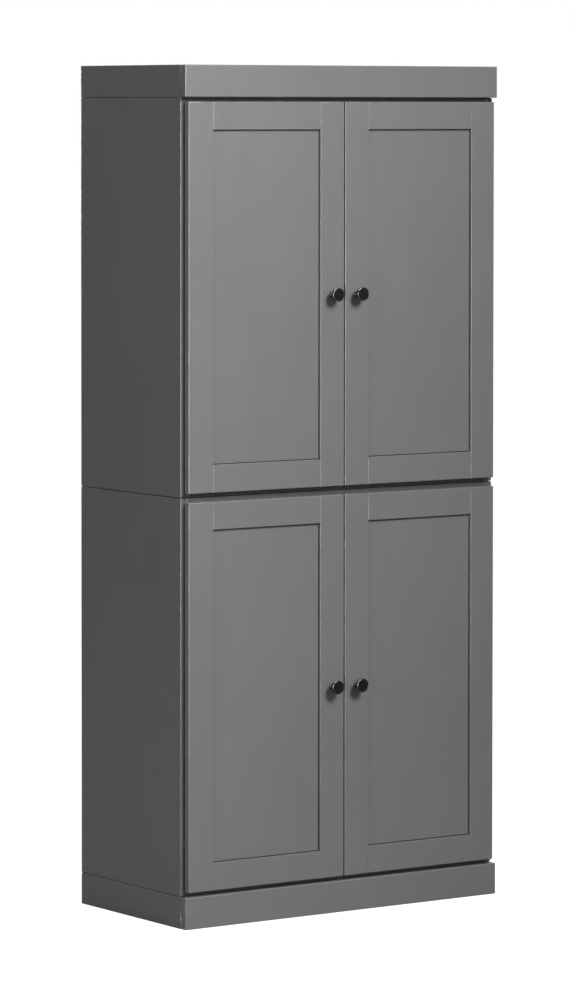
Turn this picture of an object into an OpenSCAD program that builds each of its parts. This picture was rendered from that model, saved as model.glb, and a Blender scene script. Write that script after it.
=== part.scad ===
// Tall pantry cabinet: two stacked carcasses with four frame-and-panel doors,
// a plinth below and a crown above.
// Frame: origin under the middle of the whole outline, +Z up, the doors face -Y.
// Inside the modules, y is measured back from the plane of the door fronts.

/* [Overall] */
// Height of the whole cabinet
total_h = 2032; // [1800:1:2200]
// Width over the side panels
total_w = 914.4; // [800:0.1:1000]
// Depth from the door fronts to the back
total_d = 457.2; // [400:0.1:600]
// Height of the plinth and of the crown
band_h = 76; // [60:1:120]

/* [Boards] */
// Thickness of the carcass boards and shelves
board_t = 18; // [16:0.5:20]
// Thickness of the plinth and crown front boards
front_board_t = 21; // [19.5:0.5:25]
// Thickness of the back panels
back_t = 5; // [3:0.5:8]
// Gap between a shelf's front edge and the carcass front
shelf_setback = 20; // [15:1:40]

/* [Doors] */
// Thickness of the door frame
door_t = 18; // [17.5:0.5:19]
// Part of the carcass side's edge that shows beside a door
side_reveal = 9.2; // [8:0.1:10]
// Part of the carcass front that shows above and below a door
end_reveal = 10.5; // [6:0.5:16]
// Gap between the two doors of a pair
meeting_gap = 3; // [2.5:0.5:5]
// Width of the stiles
stile_w = 69; // [60:1:90]
// Height of the rails
rail_h = 66; // [50:1:90]
// Thickness of the flat door panel
panel_t = 6; // [5:0.5:6.5]
// Depth of the panel's face behind the frame's face
panel_recess = 7; // [5:0.5:7]
// Depth of the groove that holds the panel
groove_d = 8; // [6:1:10]

/* [Knobs] */
// Diameter of the knob's face
knob_d = 33; // [25:1:40]
// How far the knob stands out from the door
knob_reach = 27; // [20:1:35]

/* [Shelves] */
// Pitch of the shelf pin holes
pin_pitch = 32; // [25:1:40]
// Number of holes in each group of a row, one group to a shelf
pins_per_group = 5; // [3:2:7]
// Diameter of a shelf pin and its hole
pin_d = 5; // [5:0.5:6]

/* [Hinges] */
// Distance of the hinge pin from the door's outer edge
pivot_inset = 7; // [6.5:0.1:7.5]
// Distance of the hinge pin behind the door's face
pivot_depth = 9.25; // [9:0.05:9.5]
// Diameter of the hinge cup
cup_d = 35; // [35:1:36]
// Distance of the cup's centre from the door's outer edge
cup_inset = 20.5; // [20:0.1:21]
// Distance of each hinge from the end of its door
hinge_end = 110; // [90:5:160]

/* [Hidden] */
$fn = 48;
LEVELS = ["lower", "upper"];
HANDS = ["left", "right"];
CABINET_NODES = [
    "plinth_front", "plinth_side_left", "plinth_side_right", "plinth_back",
    "lower_side_left", "lower_side_right", "lower_bottom", "lower_top", "lower_back",
    "lower_shelf_low", "lower_shelf_high",
    "upper_side_left", "upper_side_right", "upper_bottom", "upper_top", "upper_back",
    "upper_shelf_low", "upper_shelf_high",
    "crown_front", "crown_side_left", "crown_side_right", "crown_back",
    "shelf_pins", "cam_fittings", "wood_dowels", "corner_blocks", "frame_screws", "wood_screws",
    "hinge_plates", "hinge_arms", "anti_tip_brackets", "door_bumpers"
];
DOOR_PIECES = [
    "hinge_stile", "lock_stile", "top_rail", "bottom_rail", "panel", "knob", "hinge_cups"
];

// Colours
GREY = [0.45, 0.45, 0.46];
DARK_GREY = [0.40, 0.40, 0.41];
BLACK = [0.10, 0.10, 0.10];
STEEL = [0.72, 0.72, 0.74];
BIRCH = [0.80, 0.68, 0.48];
CLEAR_GREY = [0.80, 0.80, 0.80];

// Carcasses
half_w = total_w / 2;
inner_half_w = half_w - board_t;
carcass_y = front_board_t;
back_y = total_d - back_t;
carcass_h = (total_h - 2 * band_h) / 2;
crown_z = total_h - band_h;
rebate_w = board_t / 2;
front_y = -(total_d + knob_reach) / 2 + knob_reach;

// Shelves and their pin rows
compartment_h = (carcass_h - 4 * board_t) / 3;
shelf_z = [board_t + compartment_h, 2 * (board_t + compartment_h)];
shelf_side_gap = 1.5;
shelf_back_gap = 4;
row_y = [carcass_y + 60, back_y - 60];
pin_in_side = 9;
pin_out = 8;
pin_hole_depth = 10;
pin_collar_d = 8;
pin_collar_t = 1.2;
hole_gap = 0.1;
cut_past = 1;

// Doors
door_w = half_w - side_reveal - meeting_gap / 2;
door_h = carcass_h - 2 * end_reveal;
door_edge_x = -half_w + side_reveal;
lock_stile_x = -meeting_gap / 2 - stile_w;
panel_back = panel_recess + panel_t;

// Knobs
knob_neck_d = 13;
knob_foot_d = 18;
knob_head_t = 9;
knob_foot_t = 3;
knob_edge = 1.2;
knob_screw_d = 4;
knob_screw_bite = 12;
knob_screw_head_d = 9;
knob_screw_head_t = 2.2;

// Hinges: the pin turns in the eye of the arm
pin_r = 1.25;
pin_half_len = 9.2;
eye_bore_r = pin_r + 0.05;
eye_r = 2.2;
eye_half_h = 3.6;
cup_depth = 12.8;
cup_wall = 0.9;
cup_rim_w = 1.5;
cup_rim_t = 1.2;
cup_wing_half_h = 29;
cup_wing_w = 14;
cup_screw_z = 24;
cup_screw_in = 6;
neck_front = 2.3;
neck_t = 1.5;
hook_in = 13;
hook_t = 3;
arm_half_h = 5;
pivot_x = door_edge_x + pivot_inset;
plate_y = carcass_y + 37;
plate_half_h = 24;
plate_len = 44;
plate_t = 2.5;
plate_wing_w = 14;
plate_screw_z = 16;

// Fasteners
cam_d = 15;
cam_h = 13.5;
cam_in = 34;
cam_bolt_d = 7;
cam_bolt_in_side = 10;
cam_y = [carcass_y + 60, back_y - 60];
dowel_d = 8;
dowel_len = 30;
dowel_in = 10;
dowel_y = [carcass_y + 110, back_y - 110];
band_dowel_z = [band_h / 2 - 20, band_h / 2 + 20];
corner_block_w = 35;
corner_block_h = 60;
frame_screw_d = 5;
frame_screw_len = 34;
frame_screw_head_d = 9;
frame_screw_head_t = 3;
frame_screw_x = inner_half_w - corner_block_w / 2;
frame_screw_y = [carcass_y + corner_block_w / 2, total_d - board_t - corner_block_w / 2];
wood_screw_d = 4;
wood_screw_len = 12;
wood_screw_head_d = 8;
wood_screw_head_t = 2;

// Anti-tip brackets
bracket_x = 345;
bracket_w = 40;
bracket_leg = 50;
bracket_t = 2.5;
bracket_screw_y = [15, 37];
wall_hole_d = 6;
wall_hole_up = 32;

// Door bumpers
bumper_d = 6;
bumper_t = 2.6;
bumper_x = 14;

function level_z(level) = level == "upper" ? band_h + carcass_h : band_h;
function door_z(level) = level_z(level) + end_reveal;
function door_top_z(level) = door_z(level) + door_h;
function hinge_z(level) = [door_z(level) + hinge_end, door_top_z(level) - hinge_end];
function pin_z(shelf) = shelf_z[shelf] - pin_d / 2;
function group_offsets() = [for (i = [0 : pins_per_group - 1]) (i - (pins_per_group - 1) / 2) * pin_pitch];

// Puts geometry written with y = 0 at the door fronts into the part's frame.
module from_front() {
    translate([0, front_y, 0]) children();
}

// Draws left-hand geometry on the side that hand names.
module on_hand(hand) {
    mirror([hand == "right" ? 1 : 0, 0, 0]) children();
}

// Draws left-hand geometry on both sides.
module on_both_hands() {
    for (hand = HANDS) on_hand(hand) children();
}

// A box given by its lowest and highest corners.
module block(low, high) {
    translate(low) cube(high - low);
}

// Cylinders along X, Y and Z that start at a point.
module rod_x(start, d, len) {
    translate(start) rotate([0, 90, 0]) cylinder(d = d, h = len);
}

module rod_y(start, d, len) {
    translate(start) rotate([-90, 0, 0]) cylinder(d = d, h = len);
}

module rod_z(start, d, len) {
    translate(start) cylinder(d = d, h = len);
}

// A pan-head wood screw on the side panel's inner face, driven towards -X.
module side_screw(y, z, gap = 0) {
    rod_x([-inner_half_w - wood_screw_len - gap, y, z], wood_screw_d + 2 * gap, wood_screw_len + gap);
}

// ---- Plinth and crown: the same frame at two heights ----

module band_front(z) {
    color(GREY) from_front() difference() {
        block([-half_w, 0, z], [half_w, front_board_t, z + band_h]);
        on_both_hands() band_front_dowels(z, hole_gap);
    }
}

module band_side(z, hand) {
    color(DARK_GREY) from_front() on_hand(hand) difference() {
        block([-half_w, front_board_t, z], [-inner_half_w, total_d, z + band_h]);
        band_front_dowels(z, hole_gap);
        band_back_dowels(z, hole_gap);
    }
}

module band_back(z) {
    color(DARK_GREY) from_front() difference() {
        block([-inner_half_w, total_d - board_t, z], [inner_half_w, total_d, z + band_h]);
        on_both_hands() band_back_dowels(z, hole_gap);
        if (z > 0) on_both_hands() wall_hole(total_d - board_t - cut_past, board_t + 2 * cut_past);
    }
}

module band_front_dowels(z, gap = 0) {
    for (up = band_dowel_z)
        rod_y([-half_w + board_t / 2, front_board_t - dowel_in - gap, z + up],
            dowel_d + 2 * gap, dowel_len + 2 * gap);
}

module band_back_dowels(z, gap = 0) {
    for (up = band_dowel_z)
        rod_x([-inner_half_w - dowel_in - gap, total_d - board_t / 2, z + up],
            dowel_d + 2 * gap, dowel_len + 2 * gap);
}

module wall_hole(y, len) {
    rod_y([-bracket_x, y, crown_z + wall_hole_up], wall_hole_d, len);
}

module corner_blocks() {
    color(BIRCH) from_front() for (z = [band_h - corner_block_h, crown_z]) on_both_hands()
        for (y = frame_screw_y) difference() {
            block([-inner_half_w, y - corner_block_w / 2, z],
                [-inner_half_w + corner_block_w, y + corner_block_w / 2, z + corner_block_h]);
            frame_screw_set(hole_gap);
        }
}

// ---- Carcasses ----

module side_panel(level, hand) {
    z = level_z(level);
    color(DARK_GREY) from_front() on_hand(hand) difference() {
        block([-half_w, carcass_y, z], [-inner_half_w, total_d, z + carcass_h]);
        block([-inner_half_w - rebate_w, back_y, z - cut_past],
            [-inner_half_w + cut_past, total_d + cut_past, z + carcass_h + cut_past]);
        shelf_pin_holes(z);
        for (fitting_z = board_centres(z)) side_fasteners(fitting_z, hole_gap);
        for (hinge = hinge_z(level), up = [-1, 1]) side_screw(plate_y, hinge + up * plate_screw_z, hole_gap);
    }
}

function board_centres(z) = [z + board_t / 2, z + carcass_h - board_t / 2];

module shelf_pin_holes(z) {
    for (y = row_y, shelf = [0, 1], offset = group_offsets())
        rod_x([-inner_half_w - pin_hole_depth, y, z + pin_z(shelf) + offset],
            pin_d + 2 * hole_gap, pin_hole_depth + cut_past);
}

// The cam bolts and dowels of one end of a carcass board, centred at a height.
module side_fasteners(z, gap = 0) {
    side_cam_bolts(z, gap);
    side_dowels(z, gap);
}

// A bolt ends at its cam, and its hole runs on into the cam's pocket.
module side_cam_bolts(z, gap = 0) {
    reach = gap > 0 ? cam_in : cam_in - cam_d / 2;
    for (y = cam_y)
        rod_x([-inner_half_w - cam_bolt_in_side - gap, y, z],
            cam_bolt_d + 2 * gap, cam_bolt_in_side + gap + reach);
}

module side_dowels(z, gap = 0) {
    for (y = dowel_y)
        rod_x([-inner_half_w - dowel_in - gap, y, z], dowel_d + 2 * gap, dowel_len + 2 * gap);
}

// The two cams of one end of a carcass board, let into its hidden face.
module side_cams(z) {
    for (y = cam_y) rod_z([-inner_half_w + cam_in, y, z], cam_d, cam_h);
}

module side_cam_pockets(z, hidden_up) {
    start_z = hidden_up ? z + board_t - cam_h - hole_gap : z - cut_past;
    for (y = cam_y)
        rod_z([-inner_half_w + cam_in, y, start_z], cam_d + 2 * hole_gap, cam_h + hole_gap + cut_past);
}

// A board between the side panels; hidden_up says which face its cams are in.
module carcass_board(z, hidden_up) {
    color(DARK_GREY) from_front() difference() {
        block([-inner_half_w, carcass_y, z], [inner_half_w, back_y, z + board_t]);
        on_both_hands() {
            side_fasteners(z + board_t / 2, hole_gap);
            side_cam_pockets(z, hidden_up);
        }
        frame_screw_set(hole_gap);
        if (z + board_t == crown_z) bracket_screw_set(hole_gap);
    }
}

module carcass_back(z) {
    color(DARK_GREY) from_front()
        block([-inner_half_w - rebate_w, back_y, z], [inner_half_w + rebate_w, total_d, z + carcass_h]);
}

module shelf(z) {
    half = inner_half_w - shelf_side_gap;
    color(GREY) from_front()
        block([-half, carcass_y + shelf_setback, z], [half, back_y - shelf_back_gap, z + board_t]);
}

module shelf_pins() {
    color(STEEL) from_front() on_both_hands()
        for (level = LEVELS, shelf = [0, 1], y = row_y) shelf_pin(y, level_z(level) + pin_z(shelf));
}

module shelf_pin(y, z) {
    rod_x([-inner_half_w - pin_in_side, y, z], pin_d, pin_in_side + pin_out);
    difference() {
        rod_x([-inner_half_w, y, z], pin_collar_d, pin_collar_t);
        translate([-inner_half_w - cut_past, y - pin_collar_d / 2, z + pin_d / 2])
            cube([pin_collar_t + 2 * cut_past, pin_collar_d, pin_collar_d]);
    }
}

// ---- Fasteners ----

module cam_fittings() {
    color(STEEL) from_front() on_both_hands() for (level = LEVELS) {
        for (z = board_centres(level_z(level))) side_cam_bolts(z);
        side_cams(level_z(level));
        side_cams(level_z(level) + carcass_h - cam_h);
    }
}

module wood_dowels() {
    color(BIRCH) from_front() on_both_hands() {
        for (level = LEVELS, z = board_centres(level_z(level))) side_dowels(z);
        for (z = [0, crown_z]) {
            band_front_dowels(z);
            band_back_dowels(z);
        }
    }
}

// The screws at the four corners: carcass to plinth, upper to lower carcass, and crown to carcass.
module frame_screws() {
    color(STEEL) from_front() frame_screw_set();
}

module frame_screw_set(gap = 0) {
    on_both_hands() for (y = frame_screw_y) {
        frame_screw_down(y, band_h + board_t, gap);
        frame_screw_down(y, band_h + carcass_h + board_t, gap);
        translate([0, 0, 2 * (crown_z - board_t)]) mirror([0, 0, 1])
            frame_screw_down(y, crown_z - board_t, gap);
    }
}

module frame_screw_down(y, top_z, gap) {
    rod_z([-frame_screw_x, y, top_z - frame_screw_len - gap], frame_screw_d + 2 * gap, frame_screw_len + gap);
    rod_z([-frame_screw_x, y, top_z - frame_screw_head_t - gap],
        frame_screw_head_d + 2 * gap, frame_screw_head_t + (gap > 0 ? gap + cut_past : 0));
}

// The pan-head screws that hold the hinge plates and the anti-tip brackets.
module wood_screws() {
    color(STEEL) from_front() {
        on_both_hands() for (level = LEVELS, hinge = hinge_z(level), up = [-1, 1]) {
            z = hinge + up * plate_screw_z;
            rod_x([-inner_half_w - wood_screw_len + plate_t, plate_y, z], wood_screw_d, wood_screw_len);
            rod_x([-inner_half_w + plate_t, plate_y, z], wood_screw_head_d, wood_screw_head_t);
        }
        bracket_screw_set();
    }
}

module bracket_screw_set(gap = 0) {
    on_both_hands() for (in = bracket_screw_y) {
        start = [-bracket_x, total_d - board_t - in, crown_z + bracket_t];
        rod_z(start - [0, 0, wood_screw_len + gap], wood_screw_d + 2 * gap, wood_screw_len + gap);
        rod_z(start, wood_screw_head_d, wood_screw_head_t);
    }
}

module anti_tip_brackets() {
    wall_y = total_d - board_t;
    color(STEEL) from_front() on_both_hands() difference() {
        union() {
            block([-bracket_x - bracket_w / 2, wall_y - bracket_leg, crown_z],
                [-bracket_x + bracket_w / 2, wall_y, crown_z + bracket_t]);
            block([-bracket_x - bracket_w / 2, wall_y - bracket_t, crown_z],
                [-bracket_x + bracket_w / 2, wall_y, crown_z + bracket_leg]);
        }
        wall_hole(wall_y - bracket_t - cut_past, bracket_t + 2 * cut_past);
        for (in = bracket_screw_y)
            rod_z([-bracket_x, wall_y - in, crown_z - cut_past],
                wood_screw_d + 2 * hole_gap, bracket_t + 2 * cut_past);
    }
}

module door_bumpers() {
    overlap = board_t - end_reveal;
    color(CLEAR_GREY) from_front() on_both_hands() for (level = LEVELS)
        for (z = [door_z(level) + overlap / 2, door_top_z(level) - overlap / 2])
            rod_y([-bumper_x, carcass_y - bumper_t, z], bumper_d, bumper_t);
}

// ---- Hinges ----

// Moves the children to each hinge pin of every door.
module at_each_pin() {
    from_front() on_both_hands() for (level = LEVELS, z = hinge_z(level))
        translate([pivot_x, pivot_depth, z]) children();
}

module hinge_plates() {
    color(STEEL) from_front() on_both_hands() for (level = LEVELS, z = hinge_z(level)) difference() {
        union() {
            block([-inner_half_w, plate_y - plate_wing_w / 2, z - plate_half_h],
                [-inner_half_w + plate_t, plate_y + plate_wing_w / 2, z + plate_half_h]);
            block([-inner_half_w, plate_y - plate_len / 2, z - arm_half_h],
                [pivot_x + hook_in, plate_y + plate_len / 2, z + arm_half_h]);
        }
        for (up = [-1, 1])
            rod_x([-inner_half_w - cut_past, plate_y, z + up * plate_screw_z],
                wood_screw_d + 2 * hole_gap, plate_t + 2 * cut_past);
    }
}

// The arm hooks from the pin around the door's edge and lies on the plate.
module hinge_arms() {
    arm_end = plate_y + plate_len / 2 - pivot_depth;
    color(STEEL) at_each_pin() difference() {
        union() {
            translate([0, 0, -eye_half_h]) cylinder(r = eye_r, h = 2 * eye_half_h);
            block([0, -neck_front, -eye_half_h], [hook_in, neck_t - neck_front, eye_half_h]);
            block([eye_r, -neck_front, -arm_half_h], [hook_in, neck_t - neck_front, arm_half_h]);
            block([hook_in, -neck_front, -arm_half_h], [hook_in + hook_t, arm_end, arm_half_h]);
        }
        translate([0, 0, -eye_half_h - cut_past])
            cylinder(r = eye_bore_r, h = 2 * (eye_half_h + cut_past));
    }
}

// A door's cups, each with its pin across it and two screws through its wings.
module hinge_cups(level, hand) {
    color(STEEL) from_front() on_hand(hand) for (z = hinge_z(level)) {
        hinge_cup(z);
        translate([pivot_x, pivot_depth, z - pin_half_len]) cylinder(r = pin_r, h = 2 * pin_half_len);
        cup_screws(z);
    }
}

module cup_screws(z, gap = 0) {
    x = door_edge_x + cup_inset + cup_screw_in;
    for (up = [-1, 1]) translate([x, door_t + cup_rim_t, z + up * cup_screw_z]) {
        rod_y([0, -wood_screw_len - gap, 0], wood_screw_d + 2 * gap, wood_screw_len + gap);
        rod_y([0, 0, 0], wood_screw_head_d, wood_screw_head_t);
    }
}

module hinge_cup(z) {
    x = door_edge_x + cup_inset;
    difference() {
        union() {
            rod_y([x, door_t - cup_depth, z], cup_d, cup_depth);
            rod_y([x, door_t, z], cup_d + 2 * cup_rim_w, cup_rim_t);
            block([x + cup_screw_in - cup_wing_w / 2, door_t, z - cup_wing_half_h],
                [x + cup_screw_in + cup_wing_w / 2, door_t + cup_rim_t, z + cup_wing_half_h]);
        }
        rod_y([x, door_t - cup_depth + cup_wall, z], cup_d - 2 * cup_wall, cup_depth + cup_rim_t);
        cup_screws(z, hole_gap);
    }
}

// ---- Doors: left-hand geometry, drawn on the side that hand names ----

module hinge_stile(level, hand) {
    color(GREY) from_front() on_hand(hand) difference() {
        stile(level, door_edge_x);
        groove(level);
        for (z = hinge_z(level)) {
            rod_y([door_edge_x + cup_inset, door_t - cup_depth - hole_gap, z],
                cup_d + 2 * hole_gap, cup_depth + cut_past);
            cup_screws(z, hole_gap);
        }
    }
}

module lock_stile(level, hand) {
    color(GREY) from_front() on_hand(hand) difference() {
        stile(level, lock_stile_x);
        groove(level);
        rod_y([lock_stile_x + stile_w / 2, -cut_past, knob_z(level)],
            knob_screw_d + 2 * hole_gap, door_t + 2 * cut_past);
    }
}

function knob_z(level) = level_z(level) + carcass_h / 2;

module stile(level, x) {
    block([x, 0, door_z(level)], [x + stile_w, door_t, door_top_z(level)]);
}

// The space that the panel and the rail tongues take out of the stiles and rails.
module groove(level) {
    block([door_edge_x + stile_w - groove_d, panel_recess, door_z(level) - cut_past],
        [lock_stile_x + groove_d, panel_back, door_top_z(level) + cut_past]);
}

module rail(level, z, hand) {
    color(GREY) from_front() on_hand(hand) difference() {
        union() {
            block([door_edge_x + stile_w, 0, z], [lock_stile_x, door_t, z + rail_h]);
            block([door_edge_x + stile_w - groove_d, panel_recess, z],
                [lock_stile_x + groove_d, panel_back, z + rail_h]);
        }
        door_panel(level);
    }
}

module door_panel(level) {
    block([door_edge_x + stile_w - groove_d, panel_recess, door_z(level) + rail_h - groove_d],
        [lock_stile_x + groove_d, panel_back, door_top_z(level) - rail_h + groove_d]);
}

module panel(level, hand) {
    color(GREY) from_front() on_hand(hand) door_panel(level);
}

// The turned knob and the screw that holds it from behind the door.
module knob(level, hand) {
    x = lock_stile_x + stile_w / 2;
    color(BLACK) from_front() on_hand(hand) translate([x, 0, knob_z(level)]) difference() {
        rotate([90, 0, 0]) rotate_extrude() knob_outline();
        rod_y([0, -knob_screw_bite - hole_gap, 0],
            knob_screw_d + 2 * hole_gap, knob_screw_bite + hole_gap + cut_past);
    }
    color(STEEL) from_front() on_hand(hand) translate([x, 0, knob_z(level)]) {
        rod_y([0, -knob_screw_bite, 0], knob_screw_d, knob_screw_bite + door_t);
        rod_y([0, door_t, 0], knob_screw_head_d, knob_screw_head_t);
    }
}

module knob_outline() {
    head_z = knob_reach - knob_head_t;
    polygon([
        [0, 0],
        [knob_foot_d / 2, 0],
        [knob_foot_d / 2, knob_foot_t - knob_edge],
        [knob_neck_d / 2, knob_foot_t + knob_edge],
        [knob_neck_d / 2, head_z - knob_foot_t],
        [knob_d / 2 - knob_edge, head_z],
        [knob_d / 2, head_z + knob_edge],
        [knob_d / 2, knob_reach - knob_edge],
        [knob_d / 2 - knob_edge, knob_reach],
        [0, knob_reach]
    ]);
}

module door_piece(level, hand, piece) {
    if (piece == "hinge_stile") hinge_stile(level, hand);
    if (piece == "lock_stile") lock_stile(level, hand);
    if (piece == "top_rail") rail(level, door_top_z(level) - rail_h, hand);
    if (piece == "bottom_rail") rail(level, door_z(level), hand);
    if (piece == "panel") panel(level, hand);
    if (piece == "knob") knob(level, hand);
    if (piece == "hinge_cups") hinge_cups(level, hand);
}

band_front(0);  // plinth_front
band_side(0, "left");  // plinth_side_left
band_side(0, "right");  // plinth_side_right
band_back(0);  // plinth_back
side_panel("lower", "left");  // lower_side_left
side_panel("lower", "right");  // lower_side_right
carcass_board(level_z("lower"), false);  // lower_bottom
carcass_board(level_z("lower") + carcass_h - board_t, true);  // lower_top
carcass_back(level_z("lower"));  // lower_back
shelf(level_z("lower") + shelf_z[0]);  // lower_shelf_low
shelf(level_z("lower") + shelf_z[1]);  // lower_shelf_high
side_panel("upper", "left");  // upper_side_left
side_panel("upper", "right");  // upper_side_right
carcass_board(level_z("upper"), false);  // upper_bottom
carcass_board(level_z("upper") + carcass_h - board_t, true);  // upper_top
carcass_back(level_z("upper"));  // upper_back
shelf(level_z("upper") + shelf_z[0]);  // upper_shelf_low
shelf(level_z("upper") + shelf_z[1]);  // upper_shelf_high
band_front(crown_z);  // crown_front
band_side(crown_z, "left");  // crown_side_left
band_side(crown_z, "right");  // crown_side_right
band_back(crown_z);  // crown_back
shelf_pins();
cam_fittings();
wood_dowels();
corner_blocks();
frame_screws();
wood_screws();
hinge_plates();
hinge_arms();
anti_tip_brackets();
door_bumpers();
for (level = LEVELS, hand = HANDS, piece = DOOR_PIECES)
    door_piece(level, hand, piece);
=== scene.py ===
"""The looks of the pantry cabinet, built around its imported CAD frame. Lengths are metres."""

import math

import bmesh
import bpy
from mathutils import Matrix, Vector


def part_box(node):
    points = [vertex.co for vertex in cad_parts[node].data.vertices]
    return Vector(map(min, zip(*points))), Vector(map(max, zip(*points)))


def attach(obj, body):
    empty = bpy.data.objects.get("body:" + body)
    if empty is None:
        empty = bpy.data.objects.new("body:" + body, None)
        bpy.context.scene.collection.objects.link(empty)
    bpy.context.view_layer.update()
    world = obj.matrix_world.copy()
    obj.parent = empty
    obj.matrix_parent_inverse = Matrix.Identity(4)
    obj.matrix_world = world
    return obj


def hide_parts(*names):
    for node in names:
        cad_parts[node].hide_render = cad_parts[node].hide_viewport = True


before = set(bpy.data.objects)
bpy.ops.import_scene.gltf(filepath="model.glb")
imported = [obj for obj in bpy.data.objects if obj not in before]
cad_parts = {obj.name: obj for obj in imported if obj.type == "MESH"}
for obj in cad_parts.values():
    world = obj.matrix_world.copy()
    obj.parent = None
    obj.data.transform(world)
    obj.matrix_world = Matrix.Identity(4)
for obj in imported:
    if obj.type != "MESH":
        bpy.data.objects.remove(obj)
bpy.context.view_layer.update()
SCENE = bpy.context.scene
MM = 0.001
X, Y, Z = 0, 1, 2
FORWARD, BACKWARD = Vector((0, -1, 0)), Vector((0, 1, 0))
WHITE = (1, 1, 1, 1)

LEVELS = ("lower", "upper")
HANDS = ("left", "right")
DOORS = [f"{level}_{hand}" for level in LEVELS for hand in HANDS]

# Rounding of the arrises
BAND_ROUND = 2.4 * MM
DOOR_ROUND = 2.0 * MM
FRAME_ROUND = 1.2 * MM
CARCASS_ROUND = 1.3 * MM
SHELF_ROUND = 1.0 * MM
PANEL_ROUND = 0.4 * MM
BLOCK_ROUND = 1.5 * MM
METAL_ROUND = 0.35 * MM
HEAD_ROUND = 0.7 * MM
RIM_ROUND = 0.25 * MM

# The lines where boards meet, and the slots that lead into them
PLINTH_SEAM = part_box("plinth_front")[1].z
MIDDLE_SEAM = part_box("lower_top")[1].z
CROWN_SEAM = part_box("crown_front")[0].z
CARCASS_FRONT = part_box("lower_bottom")[0].y
SEAM_SETBACKS = {PLINTH_SEAM: 1.4 * MM, MIDDLE_SEAM: 1.2 * MM, CROWN_SEAM: 1.4 * MM}
FRONT_SLOT = 7.0 * MM
SIDE_SLOT = 4.0 * MM
# The border of a door's panel: how far it is stepped back, how wide it shows, and the step's slope
PANEL_STEP = 4.0 * MM
PANEL_TRENCH = 2.0 * MM
PANEL_RISER = 0.02 * MM


# ---- Camera, light and floor ----

CAMERA_PLACE = (-6.506, -9.328, 1.930)
CAMERA_TURN = 34.81  # degrees from +Y towards +X
CAMERA_DIP = 2.1  # degrees below level
CAMERA_ROLL = 0.04  # degrees
CAMERA_LENS = 168.6  # millimetres of focal length
CAMERA_SENSOR = 36.0  # millimetres
CAMERA_SHIFT = -0.22  # share of the longer side of the picture
CAMERA_REACH = 100.0


def make_camera():
    data = bpy.data.cameras.new("camera")
    data.lens = CAMERA_LENS
    data.sensor_width = CAMERA_SENSOR
    data.shift_y = CAMERA_SHIFT
    data.clip_end = CAMERA_REACH
    camera = bpy.data.objects.new("camera", data)
    turn = Matrix.Rotation(math.radians(-CAMERA_TURN), 4, "Z")
    dip = Matrix.Rotation(math.radians(90 - CAMERA_DIP), 4, "X")
    roll = Matrix.Rotation(math.radians(CAMERA_ROLL), 4, "Z")
    camera.matrix_world = Matrix.Translation(CAMERA_PLACE) @ turn @ dip @ roll
    SCENE.collection.objects.link(camera)
    SCENE.camera = camera


def make_area_light(name, place, target, size, power, colour=(1, 1, 1)):
    data = bpy.data.lights.new(name, "AREA")
    data.shape = "RECTANGLE"
    data.size, data.size_y = size
    data.energy = power
    data.color = colour
    light = bpy.data.objects.new(name, data)
    light.location = place
    light.rotation_euler = (Vector(target) - Vector(place)).to_track_quat("-Z", "Y").to_euler()
    SCENE.collection.objects.link(light)
    return light


KEY_PLACES = (-0.2, 0.2, 0.6, 1.0, 1.4)  # along X
KEY_FRONT = -5.9
KEY_HEIGHT = 5.5
KEY_AIM = Vector((-8.0, 1.6, -0.8))
KEY_SIZE = (2.2, 3.0)
KEY_POWER = 2530  # watts for all the louvres together
KEY_COLOUR = (1, 0.995, 0.985)


def make_key():
    """A high soft box in louvres, turned so that the cabinet catches only the edge of their light."""
    for x in KEY_PLACES:
        place = Vector((x, KEY_FRONT, KEY_HEIGHT))
        make_area_light("key", place, place + KEY_AIM, KEY_SIZE, KEY_POWER / len(KEY_PLACES), KEY_COLOUR)


def make_lights():
    """The key, weak fills from the left and behind, and a strip that shows only in reflections."""
    make_key()
    make_area_light("fill", place=(-5.5, -1.6, 1.6), target=(-0.457, 0, 1.1), size=(2.5, 2.5), power=90)
    make_area_light("rear", place=(0, 5.5, 2.8), target=(0, 0.2, 1.0), size=(0.8, 2.5), power=220)
    strip_place = (-3.2, -3.0, 1.3)
    strip = make_area_light("strip", strip_place, target=(-0.4, 0, 1.1), size=(0.5, 3.2), power=350)
    strip.visible_diffuse = False


def make_world(seen=1.0, lit=0.27, tint=(0.955, 0.98, 1.02, 1)):
    """White to the eye, and a dimmer, faintly blue, even light on the object."""
    world = bpy.data.worlds.new("studio")
    world.use_nodes = True
    tree = world.node_tree
    tree.nodes.clear()
    out = tree.nodes.new("ShaderNodeOutputWorld")
    mix = tree.nodes.new("ShaderNodeMixShader")
    path = tree.nodes.new("ShaderNodeLightPath")
    for socket, colour, strength in ((1, tint, lit), (2, WHITE, seen)):
        back = tree.nodes.new("ShaderNodeBackground")
        back.inputs["Color"].default_value = colour
        back.inputs["Strength"].default_value = strength
        tree.links.new(back.outputs[0], mix.inputs[socket])
    tree.links.new(path.outputs["Is Camera Ray"], mix.inputs[0])
    tree.links.new(mix.outputs[0], out.inputs[0])
    SCENE.world = world


def floor_white(reflects=0.15, glow=0.95):
    """Almost white to the eye, while it throws back little light, so that shadows on it stay faint."""
    material = bpy.data.materials.new("floor_white")
    material.use_nodes = True
    tree = material.node_tree
    shader = tree.nodes["Principled BSDF"]
    shader.inputs["Base Color"].default_value = (reflects, reflects, reflects, 1)
    shader.inputs["Roughness"].default_value = 0.9
    shader.inputs["Emission Color"].default_value = WHITE
    path = tree.nodes.new("ShaderNodeLightPath")
    share = tree.nodes.new("ShaderNodeMath")
    share.operation = "MULTIPLY"
    share.inputs[1].default_value = glow
    tree.links.new(path.outputs["Is Camera Ray"], share.inputs[0])
    tree.links.new(share.outputs[0], shader.inputs["Emission Strength"])
    return material


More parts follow.
